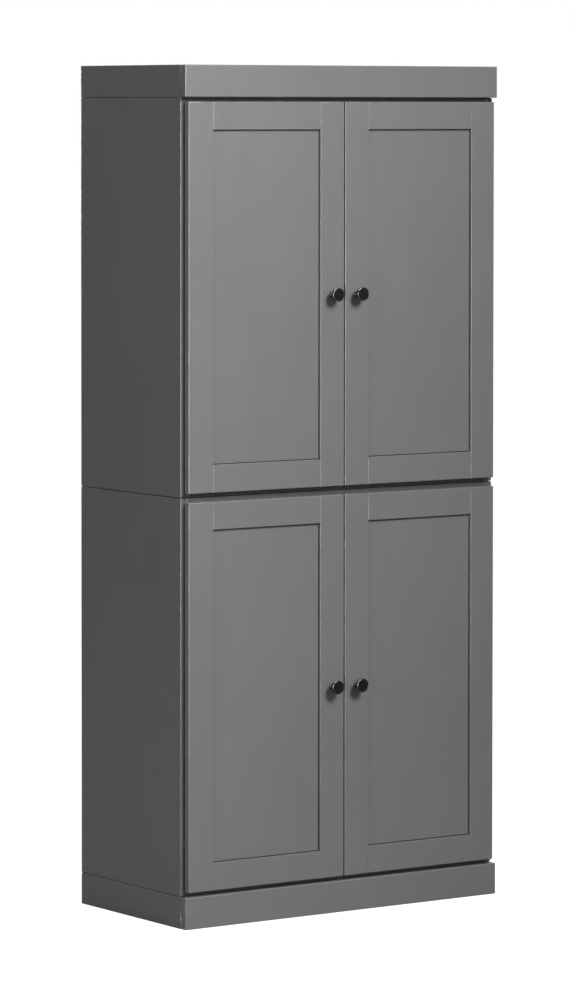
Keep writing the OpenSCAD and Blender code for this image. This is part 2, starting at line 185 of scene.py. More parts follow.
def make_floor(size=60.0):
    """A plain pale floor."""
    mesh = bpy.data.meshes.new("floor")
    half = size / 2
    corners = [(-half, -half, 0), (half, -half, 0), (half, half, 0), (-half, half, 0)]
    mesh.from_pydata(corners, [], [(0, 1, 2, 3)])
    mesh.materials.append(floor_white())
    floor = bpy.data.objects.new("floor", mesh)
    SCENE.collection.objects.link(floor)


# ---- Materials ----

COLOUR_FACTOR, COLOUR_A, COLOUR_B, COLOUR_OUT = 0, 6, 7, 2  # sockets of a mix node that mixes colours


class Paint:
    """A short way to write a node material. Positions are metres in the cabinet's own frame."""

    def __init__(self, name):
        self.material = bpy.data.materials.new(name)
        self.material.use_nodes = True
        self.tree = self.material.node_tree
        self.shader = self.tree.nodes["Principled BSDF"]
        self.place = self.tree.nodes.new("ShaderNodeTexCoord").outputs["Object"]

    def set(self, **values):
        """Constants of the shader. An underscore in a name stands for a space."""
        for name, value in values.items():
            self.shader.inputs[name.replace("_", " ")].default_value = value
        return self

    def link(self, source, name):
        self.tree.links.new(source, self.shader.inputs[name])
        return self

    def feed(self, socket, value):
        """Gives a node's socket a link, a colour or a number."""
        if isinstance(value, bpy.types.NodeSocket):
            self.tree.links.new(value, socket)
        else:
            socket.default_value = (*value, 1) if isinstance(value, tuple) else value

    def stretch(self, x, y, z):
        mapping = self.tree.nodes.new("ShaderNodeMapping")
        mapping.inputs["Scale"].default_value = (x, y, z)
        self.tree.links.new(self.place, mapping.inputs["Vector"])
        return mapping.outputs["Vector"]

    def noise(self, scale, detail=3.0, rough=0.5, at=None, twist=0.0):
        noise = self.tree.nodes.new("ShaderNodeTexNoise")
        noise.inputs["Scale"].default_value = scale
        noise.inputs["Detail"].default_value = detail
        noise.inputs["Roughness"].default_value = rough
        noise.inputs["Distortion"].default_value = twist
        self.tree.links.new(self.place if at is None else at, noise.inputs["Vector"])
        return noise.outputs["Fac"]

    def ramp(self, factor, *stops):
        """Each stop is a position and a colour; a number stands for a grey."""
        node = self.tree.nodes.new("ShaderNodeValToRGB")
        elements = node.color_ramp.elements
        while len(elements) < len(stops):
            elements.new(0.5)
        for element, (position, colour) in zip(elements, stops):
            element.position = position
            element.color = (*colour, 1) if isinstance(colour, tuple) else (colour, colour, colour, 1)
        self.tree.links.new(factor, node.inputs["Fac"])
        return node.outputs["Color"]

    def shade(self, factor, dark, pale, start=0.35, end=0.65):
        """A colour that goes from dark to pale over the usual span of a noise."""
        return self.ramp(factor, (start, dark), (end, pale))

    def span(self, factor, low, high, start=0.3, end=0.7):
        """Maps the usual span of a noise to a range of numbers."""
        node = self.tree.nodes.new("ShaderNodeMapRange")
        ends = (("From Min", start), ("From Max", end), ("To Min", low), ("To Max", high))
        for name, value in ends:
            node.inputs[name].default_value = value
        self.tree.links.new(factor, node.inputs["Value"])
        return node.outputs["Result"]

    def reckon(self, operation, *values):
        node = self.tree.nodes.new("ShaderNodeMath")
        node.operation = operation
        for socket, value in zip(node.inputs, values):
            self.feed(socket, value)
        return node.outputs[0]

    def blend(self, *shares):
        """The weighted sum of several factors, given as (factor, weight) pairs."""
        (factor, weight), *others = shares
        total = self.reckon("MULTIPLY", factor, weight)
        for factor, weight in others:
            total = self.reckon("MULTIPLY_ADD", factor, weight, total)
        return total

    def mix(self, a, b, share):
        node = self.tree.nodes.new("ShaderNodeMix")
        node.data_type = "RGBA"
        for socket, value in ((COLOUR_FACTOR, share), (COLOUR_A, a), (COLOUR_B, b)):
            self.feed(node.inputs[socket], value)
        return node.outputs[COLOUR_OUT]

    def bump(self, height, depth, strength=0.6):
        node = self.tree.nodes.new("ShaderNodeBump")
        node.inputs["Strength"].default_value = strength
        node.inputs["Distance"].default_value = depth
        self.tree.links.new(height, node.inputs["Height"])
        return self.link(node.outputs["Normal"], "Normal")


FRONT_GREY = (0.120, 0.120, 0.121)
# The carcass grey is the front grey made darker: painted shade for the sides, which face away from the
# light.
CARCASS_SHADED_GREY = (0.106, 0.107, 0.109)
# Darker paint for the carcass front edges: painted shade.
BAND_SHADE_GREY = (0.064, 0.064, 0.065)
WORN_GREY = (0.19, 0.19, 0.188)
FLAKE_DARK, FLAKE_PALE = (0.16, 0.1, 0.055), (0.4, 0.28, 0.16)
BIRCH_DARK, BIRCH_PALE = (0.46, 0.3, 0.15), (0.66, 0.48, 0.28)
NICKEL_DARK, NICKEL_PALE = (0.46, 0.46, 0.465), (0.62, 0.62, 0.635)
BRONZE_DARK, BRONZE_PALE = (0.011, 0.0105, 0.01), (0.024, 0.022, 0.02)
# Paler metal for the knob's rim, a painted highlight.
RIM_HIGHLIGHT_DARK, RIM_HIGHLIGHT_PALE = (0.07, 0.065, 0.06), (0.2, 0.19, 0.175)
PLASTIC_DARK, PLASTIC_PALE = 0.56, 0.68
ALONG_GRAIN, ACROSS_GRAIN = 6.0, 330.0


def times(colour, share):
    """A darker or paler colour."""
    return tuple(c * share for c in colour)


def laminate(name, grey, along, rough=0.4, worn=0.0):
    """Satin grey laminate: clouds of shade, a faint grain along one axis, orange peel and handling marks."""
    paint = Paint(name).set(IOR=1.5, Coat_Weight=0.15, Coat_Roughness=0.18)
    scales = (ALONG_GRAIN if axis == along else ACROSS_GRAIN for axis in "XYZ")
    grain = paint.noise(1.0, detail=4, at=paint.stretch(*scales))
    cloud = paint.noise(3.0, detail=3)
    speck = paint.noise(700.0, detail=2)
    peel = paint.noise(1100.0, detail=1)
    tone = paint.blend((cloud, 0.5), (grain, 0.3), (speck, 0.2))
    colour = paint.shade(tone, dark=times(grey, 0.965), pale=times(grey, 1.035))
    if worn:
        patches = paint.noise(45.0, detail=4, rough=0.65)
        colour = paint.mix(colour, WORN_GREY, paint.span(patches, 0.0, worn, start=0.5, end=0.62))
    paint.link(colour, "Base Color")
    smear = paint.noise(1.0, detail=3, at=paint.stretch(14.0, 14.0, 5.0), twist=1.2)
    wear = paint.blend((smear, 0.7), (speck, 0.3))
    paint.link(paint.span(wear, rough - 0.06, rough + 0.06), "Roughness")
    paint.bump(paint.blend((peel, 0.7), (grain, 0.3)), depth=0.04 * MM)
    return paint.material


def raw_board():
    """The bare particle board inside drilled holes and grooves."""
    paint = Paint("raw_board").set(Roughness=0.85)
    flakes = paint.noise(420.0, detail=5, rough=0.7)
    paint.link(paint.shade(flakes, FLAKE_DARK, FLAKE_PALE), "Base Color")
    paint.bump(flakes, depth=0.3 * MM)
    return paint.material


def hardboard():
    """The printed thin board of the back: a soft sheen, fine pressed fibres and faint long marks."""
    paint = Paint("back_board").set(IOR=1.45)
    fibres = paint.noise(900.0, detail=4, rough=0.65)
    cloud = paint.noise(5.0, detail=4)
    marks = paint.noise(1.0, detail=3, at=paint.stretch(120.0, 120.0, 2.5))
    tone = paint.blend((cloud, 0.45), (fibres, 0.3), (marks, 0.25))
    # The back board starts from the carcass's darker grey, which is painted shade.
    grey = times(CARCASS_SHADED_GREY, 0.95)
    paint.link(paint.shade(tone, dark=times(grey, 0.93), pale=times(grey, 1.07)), "Base Color")
    paint.link(paint.span(tone, 0.5, 0.66), "Roughness")
    paint.bump(fibres, depth=0.08 * MM)
    return paint.material


def bare_wood():
    """Planed birch with its rings along Z, fine pores and a dull face."""
    paint = Paint("bare_wood").set(IOR=1.45)
    rings = paint.noise(1.0, detail=3, at=paint.stretch(70.0, 70.0, 3.0), twist=0.8)
    pores = paint.noise(1.0, detail=2, at=paint.stretch(1300.0, 1300.0, 60.0))
    tone = paint.blend((rings, 0.75), (pores, 0.25))
    stops = ((0.36, BIRCH_DARK), (0.5, times(BIRCH_PALE, 0.9)), (0.62, BIRCH_PALE))
    paint.link(paint.ramp(tone, *stops), "Base Color")
    paint.link(paint.span(tone, 0.55, 0.72), "Roughness")
    paint.bump(tone, depth=0.15 * MM)
    return paint.material


def plated_steel():
    """Nickel plate with fine drawing lines, a few dull stains and soft scratches."""
    paint = Paint("plated_steel").set(Metallic=1.0, IOR=1.5)
    lines = paint.noise(1.0, detail=3, at=paint.stretch(300.0, 2500.0, 2500.0))
    stain = paint.noise(90.0, detail=3)
    paint.link(paint.shade(stain, NICKEL_DARK, NICKEL_PALE, start=0.3, end=0.7), "Base Color")
    paint.link(paint.span(paint.blend((lines, 0.6), (stain, 0.4)), 0.22, 0.4), "Roughness")
    paint.bump(lines, depth=0.02 * MM, strength=0.4)
    return paint.material


def dark_bronze():
    """Bronze darkened almost to black, mottled, with a satin lacquer."""
    paint = Paint("dark_bronze").set(Metallic=0.8, IOR=1.5, Coat_Weight=0.35, Coat_Roughness=0.22)
    mottle = paint.noise(240.0, detail=4)
    paint.link(paint.shade(mottle, BRONZE_DARK, BRONZE_PALE, start=0.3, end=0.72), "Base Color")
    paint.link(paint.span(mottle, 0.3, 0.42), "Roughness")
    paint.bump(paint.noise(1600.0, detail=2), depth=0.02 * MM, strength=0.5)
    return paint.material


def bronze_rim_highlight():
    """The knob's rim in a paler brown metal: a painted highlight for the light that its rounded edge
    catches.
    """
    paint = Paint("painted_rim_highlight").set(Metallic=0.9, IOR=1.5, Coat_Weight=0.2, Coat_Roughness=0.2)
    rim_tone = paint.noise(160.0, detail=3)
    paint.link(paint.shade(rim_tone, RIM_HIGHLIGHT_DARK, RIM_HIGHLIGHT_PALE), "Base Color")
    paint.link(paint.span(rim_tone, 0.24, 0.34), "Roughness")
    paint.bump(paint.noise(1600.0, detail=2), depth=0.02 * MM, strength=0.5)
    return paint.material


def soft_plastic():
    """Milky bumper plastic, slightly see-through and dusty."""
    paint = Paint("soft_plastic").set(IOR=1.45, Subsurface_Weight=0.3, Subsurface_Scale=2 * MM)
    dust = paint.noise(900.0, detail=3)
    paint.link(paint.shade(dust, PLASTIC_DARK, PLASTIC_PALE), "Base Color")
    paint.link(paint.span(dust, 0.35, 0.55), "Roughness")
    paint.bump(dust, depth=0.03 * MM, strength=0.5)
    return paint.material


def make_finishes():
    """Each finish is the materials of faces, rounded edges, the inside of holes, and edge bands. Paler
    rounded edges and the knob's paler rim are painted highlights; the carcass grey and the darker edge bands
    are painted shade.
    """
    core = raw_board()
    # The rounded edges take the front paint made 8 % paler, a painted highlight, with patches of paler wear.
    edge = laminate("arris_paint_highlight_and_wear", times(FRONT_GREY, 1.08), "Z", rough=0.27, worn=0.35)
    # The carcass front edges take a darker paint, painted shade for the slots between and beside the doors.
    band = laminate("edge_band_shade", BAND_SHADE_GREY, "Z", rough=0.45)
    steel, wood, plastic, back = plated_steel(), bare_wood(), soft_plastic(), hardboard()
    return {
        "front_upright": (laminate("front_upright", FRONT_GREY, "Z"), edge, core),
        "front_level": (laminate("front_level", FRONT_GREY, "X"), edge, core),
        "carcass_upright_shaded": (laminate("carcass_upright_shaded", CARCASS_SHADED_GREY, "Z"), edge, core, band),
        "carcass_level_shaded": (laminate("carcass_level_shaded", CARCASS_SHADED_GREY, "X"), edge, core, band),
        "back": (back, back, core),
        "bronze": (dark_bronze(), bronze_rim_highlight(), core),
        "steel": (steel, steel, steel),
        "wood": (wood, wood, wood),
        "plastic": (plastic, plastic, plastic),
    }


# ---- Mesh tools ----

FLAT = math.radians(1)  # faces that meet at less than this are one face
HARD = math.radians(30)  # faces that meet at more than this have a sharp edge between them
WELD = 1e-6  # corners closer than this are one corner
TOUCH = 1e-5  # places closer than this are one place
RIM_LENGTH = 4.5 * MM  # an outside edge shorter than this belongs to a hole's rim
FACING = 0.99  # a unit normal looks along an axis when its share of that axis is larger
ALIGNED = 0.9999  # an edge runs along an axis when its share of that axis is larger
ROUND_SIDES = 12  # a face with more corners than this may be round
ROUND_ERROR = 0.03  # and is, when its area is this close to a circle's
ARRIS, CORE, BAND = 1, 2, 3  # places in a finish, after the faces' own


def axis_aligned(vector):
    return max(abs(c) for c in vector) > ALIGNED * vector.length


def box_of(verts):
    """Lowest and highest corner of some vertices."""
    return tuple(Vector([side(v.co[i] for v in verts) for i in range(3)]) for side in (min, max))


def in_order(place):
    """A key that sorts places alike in every run."""
    return tuple(round(c, 5) for c in place)


def planes_touched(point, low, high):
    """The axes along which a point lies on the outside of a box."""
    return {i for i in range(3) if min(abs(point[i] - low[i]), abs(point[i] - high[i])) < TOUCH}


def solid_from(node):
    """A CAD node's mesh as a bmesh, with its flat faces in one piece each."""
    bm = bmesh.new()
    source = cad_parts[node].data
    corners = [bm.verts.new(vertex.co) for vertex in source.vertices]
    for polygon in source.polygons:
        bm.faces.new([corners[i] for i in polygon.vertices])
    bmesh.ops.remove_doubles(bm, verts=bm.verts, dist=WELD)
    bmesh.ops.dissolve_limit(bm, angle_limit=FLAT, verts=bm.verts, edges=bm.edges)
    bmesh.ops.recalc_face_normals(bm, faces=bm.faces)
    return bm


def islands(bm):
    """The separate solids in a bmesh, each as a set of vertices."""
    left, found = set(bm.verts), []
    while left:
        island, fresh = set(), [left.pop()]
        while fresh:
            vertex = fresh.pop()
            island.add(vertex)
            for edge in vertex.link_edges:
                other = edge.other_vert(vertex)
                if other in left:
                    left.remove(other)
                    fresh.append(other)
        found.append(island)
    return found


def solid_boxes(node):
    """The box of each separate solid in a CAD node, in a fixed order."""
    bm = solid_from(node)
    boxes = [box_of(island) for island in islands(bm)]
    bm.free()
    return sorted(boxes, key=lambda box: in_order(box[0]))


def round_ends(bm, radius, facing):
    """Centres and normals of the flat round faces of a radius that look along an axis, either way."""
    area = math.pi * radius * radius
    found = []
    for face in bm.faces:
        if abs(face.normal[facing]) < FACING or len(face.verts) <= ROUND_SIDES:
            continue
        if abs(face.calc_area() / area - 1) < ROUND_ERROR:
            found.append((face.calc_center_bounds(), face.normal.copy()))
    return sorted(found, key=lambda end: in_order(end[0]))


def cut_across(bm, axis, place):
    """Divides the faces that cross a plane square to an axis."""
    plane, normal = Vector(), Vector()
    plane[axis], normal[axis] = place, 1
    bmesh.ops.bisect_plane(bm, geom=[*bm.verts, *bm.edges, *bm.faces], plane_co=plane, plane_no=normal)


def set_back(bm, reached):
    """Moves the reached corners at a seam back a little, so that a narrow slot leads into the seam."""
    low, high = box_of(bm.verts)
    middle = (low.z + high.z) / 2
    for vertex in bm.verts:
        for seam, gap in SEAM_SETBACKS.items():
            if abs(vertex.co.z - seam) < TOUCH and reached(vertex.co):
                vertex.co.z += math.copysign(gap, middle - seam)


def open_front(bm):
    """Slots along the front edge of a level board."""
    line = CARCASS_FRONT + FRONT_SLOT
    cut_across(bm, Y, line)
    set_back(bm, lambda place: place.y < line - TOUCH)


def open_outside(bm):
    """Slots along the front edge and the outer face of a side panel."""
    low, high = box_of(bm.verts)
    hand = math.copysign(1, low.x + high.x)
    line, side_line = CARCASS_FRONT + FRONT_SLOT, max(abs(low.x), abs(high.x)) - SIDE_SLOT
    cut_across(bm, Y, line)
    cut_across(bm, X, hand * side_line)
    set_back(bm, lambda place: place.y < line - TOUCH or hand * place.x > side_line + TOUCH)


def closed_line(edge):
    """True for an edge along which plinth or crown touches the carcass, which rounding would open."""
    return all(
        abs(vertex.co.y - CARCASS_FRONT) < TOUCH
        and min(abs(vertex.co.z - PLINTH_SEAM), abs(vertex.co.z - CROWN_SEAM)) < TOUCH
        for vertex in edge.verts
    )


def mark_core(bm):
    """The walls of holes and grooves, which lie inside the piece's outline, are bare board."""
    low, high = box_of(bm.verts)
    for face in bm.faces:
        if not planes_touched(face.calc_center_median(), low, high):
            face.material_index = CORE


def mark_shaded_bands(bm):
    """The front edges of the carcass boards take a darker band of paint: painted shade for the slots behind
    the doors.
    """
    for face in bm.faces:
        if face.normal.y < -FACING and abs(face.calc_center_median().y - CARCASS_FRONT) < TOUCH:
            face.material_index = BAND


def long_edge(edge, touched):
    """True for a board's own edge: it runs along an axis, on the board's front, back or corner."""
    run = edge.verts[1].co - edge.verts[0].co
    return run.length > RIM_LENGTH and axis_aligned(run) and (Y in touched or len(touched) > 1)


def weigh_edges(bm, width, rim, outline=None, outer=0.0):
    """Gives each outside corner its share of the widest rounding, which it returns.

    width is for the long edges, outer for those on the outline of the whole door, and rim for holes
    and grooves.
    """
    weight = bm.edges.layers.float.new("bevel_weight_edge")
    low, high = box_of(bm.verts)
    widest = max(width, rim, outer)
    for edge in bm.edges:
        if not edge.is_manifold or edge.calc_face_angle(0) < HARD:
            continue
        edge.smooth = False
        if not edge.is_convex or closed_line(edge):
            continue
        middle = (edge.verts[0].co + edge.verts[1].co) / 2
        touched = planes_touched(middle, low, high)
        rounding = rim
        if long_edge(edge, touched):
            on_outline = outline and planes_touched(middle, *outline) - {Y}
            rounding = outer if on_outline else width
        edge[weight] = rounding / widest
    return widest


def object_from(name, bm, materials):
    mesh = bpy.data.meshes.new(name)
    bm.to_mesh(mesh)
    bm.free()
    for material in materials:
        mesh.materials.append(material)
    piece = bpy.data.objects.new(name, mesh)
    SCENE.collection.objects.link(piece)
    return piece


def apply_modifiers(piece):
    """Makes the modified mesh the piece's own."""
    view = bpy.context.evaluated_depsgraph_get()
    mesh = bpy.data.meshes.new_from_object(piece.evaluated_get(view))
    piece.modifiers.clear()
    piece.data = mesh


def rounded(name, bm, finish, width, rim=RIM_ROUND, recesses=(), **outline):
    """Makes an object of a bmesh, with its outside corners rounded by real faces."""
    widest = weigh_edges(bm, width, rim, **outline)
    for face in bm.faces:
        face.smooth = True
    piece = object_from(f"{name}_piece", bm, FINISHES[finish])
    bevel = piece.modifiers.new("arris", "BEVEL")
    bevel.limit_method = "WEIGHT"
    bevel.width = widest
    bevel.segments = 3
    # Rounded faces take the finish's second material; on painted boards that is a paler painted highlight.
    bevel.material = ARRIS
    bevel.use_clamp_overlap = False
    if recesses:
        cut_recesses(piece, recesses)
    shading = piece.modifiers.new("shading", "WEIGHTED_NORMAL")
    shading.keep_sharp = True
    return piece


def settle(piece, body, slot, *nodes):
    """A piece rides on its body and stands for its CAD nodes, which it hides. The slot is not used."""
    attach(piece, body)
    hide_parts(*nodes)
    return piece


SAME_INSIDE = ("steel", "wood", "plastic")  # finishes that look the same inside a hole


def refine(node, body, slot, finish, width, reshape=None, recess=None, **options):
    """Stands a clean, rounded copy in for a CAD node. recess is the radius and axis of its screw heads."""
    bm = solid_from(node)
    if finish not in SAME_INSIDE:
        mark_core(bm)
    if finish.startswith("carcass"):
        mark_shaded_bands(bm)
    if reshape:
        reshape(bm)
    heads = round_ends(bm, *recess) if recess else ()
    return settle(rounded(node, bm, finish, width, recesses=heads, **options), body, slot, node)


# ---- Screws and turned pieces ----

TURNS = 48
GOLDEN_TURN = math.radians(137.5)  # turns each screw's cross to an angle of its own
RECESS_SPAN = 4.6 * MM
RECESS_SLOT = 1.1 * MM
RECESS_DEPTH = 1.3 * MM
RECESS_START = 0.3 * MM  # the cutter's height above the head
FOOT_SPAN, FOOT_SLOT = 0.45, 0.6  # the cross at the cutter's foot, as shares of the one at its top


def placed(place, normal, spin=0.0):
    """Takes +Z to a normal, after a spin about +Z, and the origin to a place."""
    turn = normal.to_track_quat("Z", "Y").to_matrix().to_4x4()
    return Matrix.Translation(place) @ turn @ Matrix.Rotation(spin, 4, "Z")


def bridge(bm, ring, following):
    """Joins two rings of as many corners by a band of faces."""
    for i in range(len(ring)):
        j = (i + 1) % len(ring)
        bm.faces.new((ring[i], ring[j], following[j], following[i]))


def cross_outline(span, slot, height):
    """A plus sign's corners at a height, counterclockwise."""
    far, near = span / 2, slot / 2
    arm = [Vector((far, -near, height)), Vector((far, near, height)), Vector((near, near, height))]
    quarters = [Matrix.Rotation(math.radians(90 * quarter), 3, "Z") for quarter in range(4)]
    return [quarter @ corner for quarter in quarters for corner in arm]


def add_recess_cutter(bm, place):
    """A tapered cross that starts a little above a screw's head."""
    top_outline = cross_outline(RECESS_SPAN, RECESS_SLOT, RECESS_START)
    foot_outline = cross_outline(FOOT_SPAN * RECESS_SPAN, FOOT_SLOT * RECESS_SLOT, -RECESS_DEPTH)
    top = [bm.verts.new(place @ corner) for corner in top_outline]
    foot = [bm.verts.new(place @ corner) for corner in foot_outline]
    bm.faces.new(top)
    bm.faces.new(list(reversed(foot)))
    bridge(bm, foot, top)


def cut_recesses(piece, heads):
    """Cuts a cross recess into each screw head, given as (centre, normal)."""
    bm = bmesh.new()
    for number, (centre, normal) in enumerate(heads):
        add_recess_cutter(bm, placed(centre, normal, number * GOLDEN_TURN))
    cutter = object_from("cutter", bm, [])
    cut = piece.modifiers.new("recess", "BOOLEAN")
    cut.operation = "DIFFERENCE"
    cut.solver = "EXACT"
    cut.object = cutter
    apply_modifiers(piece)
    bpy.data.objects.remove(cutter)
    piece.data.set_sharp_from_angle(angle=HARD)


def arc(centre, radius, start, end, steps):
    """Points of a circle in the (radius, height) plane, between two angles in degrees."""
    angles = [math.radians(start + (end - start) * i / steps) for i in range(steps + 1)]
    return [(centre[0] + radius * math.cos(a), centre[1] + radius * math.sin(a)) for a in angles]


def bezier(a, b, c, d, steps=10):
    """Points of a cubic curve in the (radius, height) plane."""
    points = []
    for i in range(steps + 1):
        t = i / steps
        weights = ((1 - t) ** 3, 3 * t * (1 - t) ** 2, 3 * t * t * (1 - t), t**3)
        points.append(tuple(sum(w * p[axis] for w, p in zip(weights, (a, b, c, d))) for axis in (0, 1)))
    return points


def ring_at(bm, radius, height, place, turns):
    """The corners round the axis at one point of an outline, or the single one on the axis."""
    if radius < TOUCH:
        return [bm.verts.new(place @ Vector((0, 0, height)))]
    angles = (2 * math.pi * i / turns for i in range(turns))
    points = [Vector((radius * math.cos(a), radius * math.sin(a), height)) for a in angles]
    return [bm.verts.new(place @ point) for point in points]


def add_turned(bm, outline, place, turns=TURNS, arris=()):
    """Adds a turned solid. The outline runs from the axis to the axis; arris names its paler stretches."""
    rings = [ring_at(bm, radius, height, place, turns) for radius, height in outline]
    for number, (ring, following) in enumerate(zip(rings, rings[1:])):
        for i in range(turns):
            around = ((ring, i), (ring, i + 1), (following, i + 1), (following, i))
            corners = dict.fromkeys(points[turn % len(points)] for points, turn in around)
            face = bm.faces.new(list(corners))
            face.smooth = True
            if number in arris:
                face.material_index = ARRIS


def turned_object(name, bm, finish):
    piece = object_from(name, bm, FINISHES[finish])
    piece.data.set_sharp_from_angle(angle=HARD)
    return piece


# ---- The cabinet ----


def make_bands():
    """Plinth and crown."""
    for band in ("plinth", "crown"):
        refine(f"{band}_front", "cabinet", "grey_board", "front_level", BAND_ROUND)
        refine(f"{band}_back", "cabinet", "grey_board", "carcass_level_shaded", CARCASS_ROUND)
        for hand in HANDS:
            refine(f"{band}_side_{hand}", "cabinet", "grey_board", "carcass_upright_shaded", CARCASS_ROUND)


def make_carcass_board(node, finish, **options):
    refine(node, "cabinet", "grey_board", finish, CARCASS_ROUND, **options)


def make_carcasses():
    for level in LEVELS:
        for hand in HANDS:
            make_carcass_board(f"{level}_side_{hand}", "carcass_upright_shaded", reshape=open_outside)
    for board in ("upper_top", "lower_bottom"):
        make_carcass_board(board, "carcass_level_shaded")
    for board in ("upper_bottom", "lower_top"):
        make_carcass_board(board, "carcass_level_shaded", reshape=open_front)
    for level in LEVELS:
        for shelf in ("shelf_low", "shelf_high"):
            refine(f"{level}_{shelf}", "cabinet", "grey_board", "carcass_level_shaded", SHELF_ROUND)
        refine(f"{level}_back", "cabinet", "back_board", "back", PANEL_ROUND)


HEAD_RADIUS = 4.0 * MM
FRAME_HEAD_RADIUS = 4.5 * MM
CAM_RADIUS = 7.5 * MM


def make_fittings():
    for node in ("shelf_pins", "hinge_plates", "anti_tip_brackets"):
        refine(node, "cabinet", "steel", "steel", METAL_ROUND)
    refine("frame_screws", "cabinet", "steel", "steel", METAL_ROUND, recess=(FRAME_HEAD_RADIUS, Z))
    refine("cam_fittings", "cabinet", "steel", "steel", METAL_ROUND, recess=(CAM_RADIUS, Z))
    make_wood_screws()
    make_hinge_arms()
    make_bumpers()
    make_dowels()
    refine("corner_blocks", "cabinet", "raw_wood", "wood", BLOCK_ROUND)


def make_wood_screws():
    bm = solid_from("wood_screws")
    heads = round_ends(bm, HEAD_RADIUS, X) + round_ends(bm, HEAD_RADIUS, Z)
    piece = rounded("wood_screws", bm, "steel", METAL_ROUND, rim=HEAD_ROUND, recesses=heads)
    settle(piece, "cabinet", "steel", "wood_screws")


ADJUSTER_RADIUS = 3.2 * MM
ADJUSTER_HEIGHT = 0.8 * MM
ADJUSTER_EDGE = 0.3 * MM
ADJUSTER_BACK = (9 * MM, 27 * MM)  # from the arm's rear end


def adjuster_outline():
    edge_centre = (ADJUSTER_RADIUS - ADJUSTER_EDGE, ADJUSTER_HEIGHT - ADJUSTER_EDGE)
    edge = arc(edge_centre, ADJUSTER_EDGE, 0, 90, steps=3)
    return [(0, 0), (ADJUSTER_RADIUS, 0), *edge, (0, ADJUSTER_HEIGHT)]


def make_hinge_arms():
    """The arms, and on each the heads of its two adjusting screws."""
    refine("hinge_arms", "cabinet", "steel", "steel", METAL_ROUND)
    bm = bmesh.new()
    heads = []
    for low, high in solid_boxes("hinge_arms"):
        inward = Vector((1, 0, 0)) if low.x < 0 else Vector((-1, 0, 0))
        face_x = high.x if low.x < 0 else low.x
        for back in ADJUSTER_BACK:
            foot = Vector((face_x, high.y - back, (low.z + high.z) / 2))
            add_turned(bm, adjuster_outline(), placed(foot, inward), turns=32)
            heads.append((foot + inward * ADJUSTER_HEIGHT, inward))
    piece = object_from("hinge_adjusters", bm, FINISHES["steel"])
    cut_recesses(piece, heads)
    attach(piece, "cabinet")


BUMPER_SKIRT = 0.25  # share of a bumper's height below its dome
DOME_STEPS = 8


def bumper_outline(radius, height):
    angles = [math.radians(90 * i / DOME_STEPS) for i in range(DOME_STEPS)]
    rise = 1 - BUMPER_SKIRT
    dome = [(radius * math.cos(a), height * (BUMPER_SKIRT + rise * math.sin(a))) for a in angles]
    return [(0, 0), (radius, 0), *dome, (0, height)]


def make_bumpers():
    """Small domes that the doors close on."""
    bm = bmesh.new()
    for low, high in solid_boxes("door_bumpers"):
        foot = Vector(((low.x + high.x) / 2, high.y, (low.z + high.z) / 2))
        outline = bumper_outline((high.x - low.x) / 2, high.y - low.y)
        add_turned(bm, outline, placed(foot, FORWARD), turns=24)
    settle(turned_object("door_bumpers_piece", bm, "plastic"), "cabinet", "bumper_plastic", "door_bumpers")


FLUTES = 16
FLUTE_DEPTH = 0.3 * MM
DOWEL_CHAMFER = 1.2 * MM


def make_dowels():
    """Fluted dowels with chamfered ends."""
    bm = bmesh.new()
    for low, high in solid_boxes("wood_dowels"):
        size = high - low
        axis = max(range(3), key=lambda i: size[i])
        along = Vector([1.0 if i == axis else 0.0 for i in range(3)])
        radius, length = min(size) / 2, size[axis]
        foot = (low + high) / 2 - along * length / 2
        add_fluted(bm, radius, length, placed(foot, along))
    settle(turned_object("wood_dowels_piece", bm, "wood"), "cabinet", "raw_wood", "wood_dowels")


def add_fluted(bm, radius, length, place):
    """Adds a dowel whose every other corner lies at the bottom of a flute."""
    levels = ((0, DOWEL_CHAMFER), (DOWEL_CHAMFER, 0), (length - DOWEL_CHAMFER, 0), (length, DOWEL_CHAMFER))
    rings = []
    for height, cut in levels:
        ring = []
        for i in range(2 * FLUTES):
            out = radius - cut - (FLUTE_DEPTH if i % 2 else 0)
            angle = math.pi * i / FLUTES
            ring.append(bm.verts.new(place @ Vector((out * math.cos(angle), out * math.sin(angle), height))))
        rings.append(ring)
    for ring, following in zip(rings, rings[1:]):
        bridge(bm, ring, following)
    bm.faces.new(list(reversed(rings[0])))
    bm.faces.new(rings[-1])


NAIL_INSET = 4.5 * MM
NAIL_PITCH = 0.12
NAIL_RADIUS = 2.0 * MM
NAIL_HEIGHT = 0.6 * MM


def make_back_nails():
    """The heads of the nails that hold each back board, along its sides, top and bottom."""
    crown = arc((NAIL_RADIUS - NAIL_HEIGHT, 0), NAIL_HEIGHT, 0, 80, steps=4)
    outline = [(0, 0), (NAIL_RADIUS, 0), *crown, (0, NAIL_HEIGHT)]
    for level in LEVELS:
        low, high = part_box(f"{level}_back")
        bm = bmesh.new()
        for x, z in nail_places(low, high):
            add_turned(bm, outline, placed((x, high.y, z), BACKWARD), turns=16)
        piece = turned_object(f"{level}_back_nails", bm, "steel")
        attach(piece, "cabinet")


def nail_places(low, high):
    """Even places in (x, z) round a back board, about a nail pitch apart."""
    left, right = low.x + NAIL_INSET, high.x - NAIL_INSET
    bottom, top = low.z + 2 * NAIL_INSET, high.z - 2 * NAIL_INSET
    across = max(1, round((right - left) / NAIL_PITCH))
    up = max(1, round((top - bottom) / NAIL_PITCH))
    places = [(left + (right - left) * i / across, z) for z in (bottom, top) for i in range(across + 1)]
    return places + [(x, bottom + (top - bottom) * i / up) for x in (left, right) for i in range(1, up)]


# ---- The doors ----


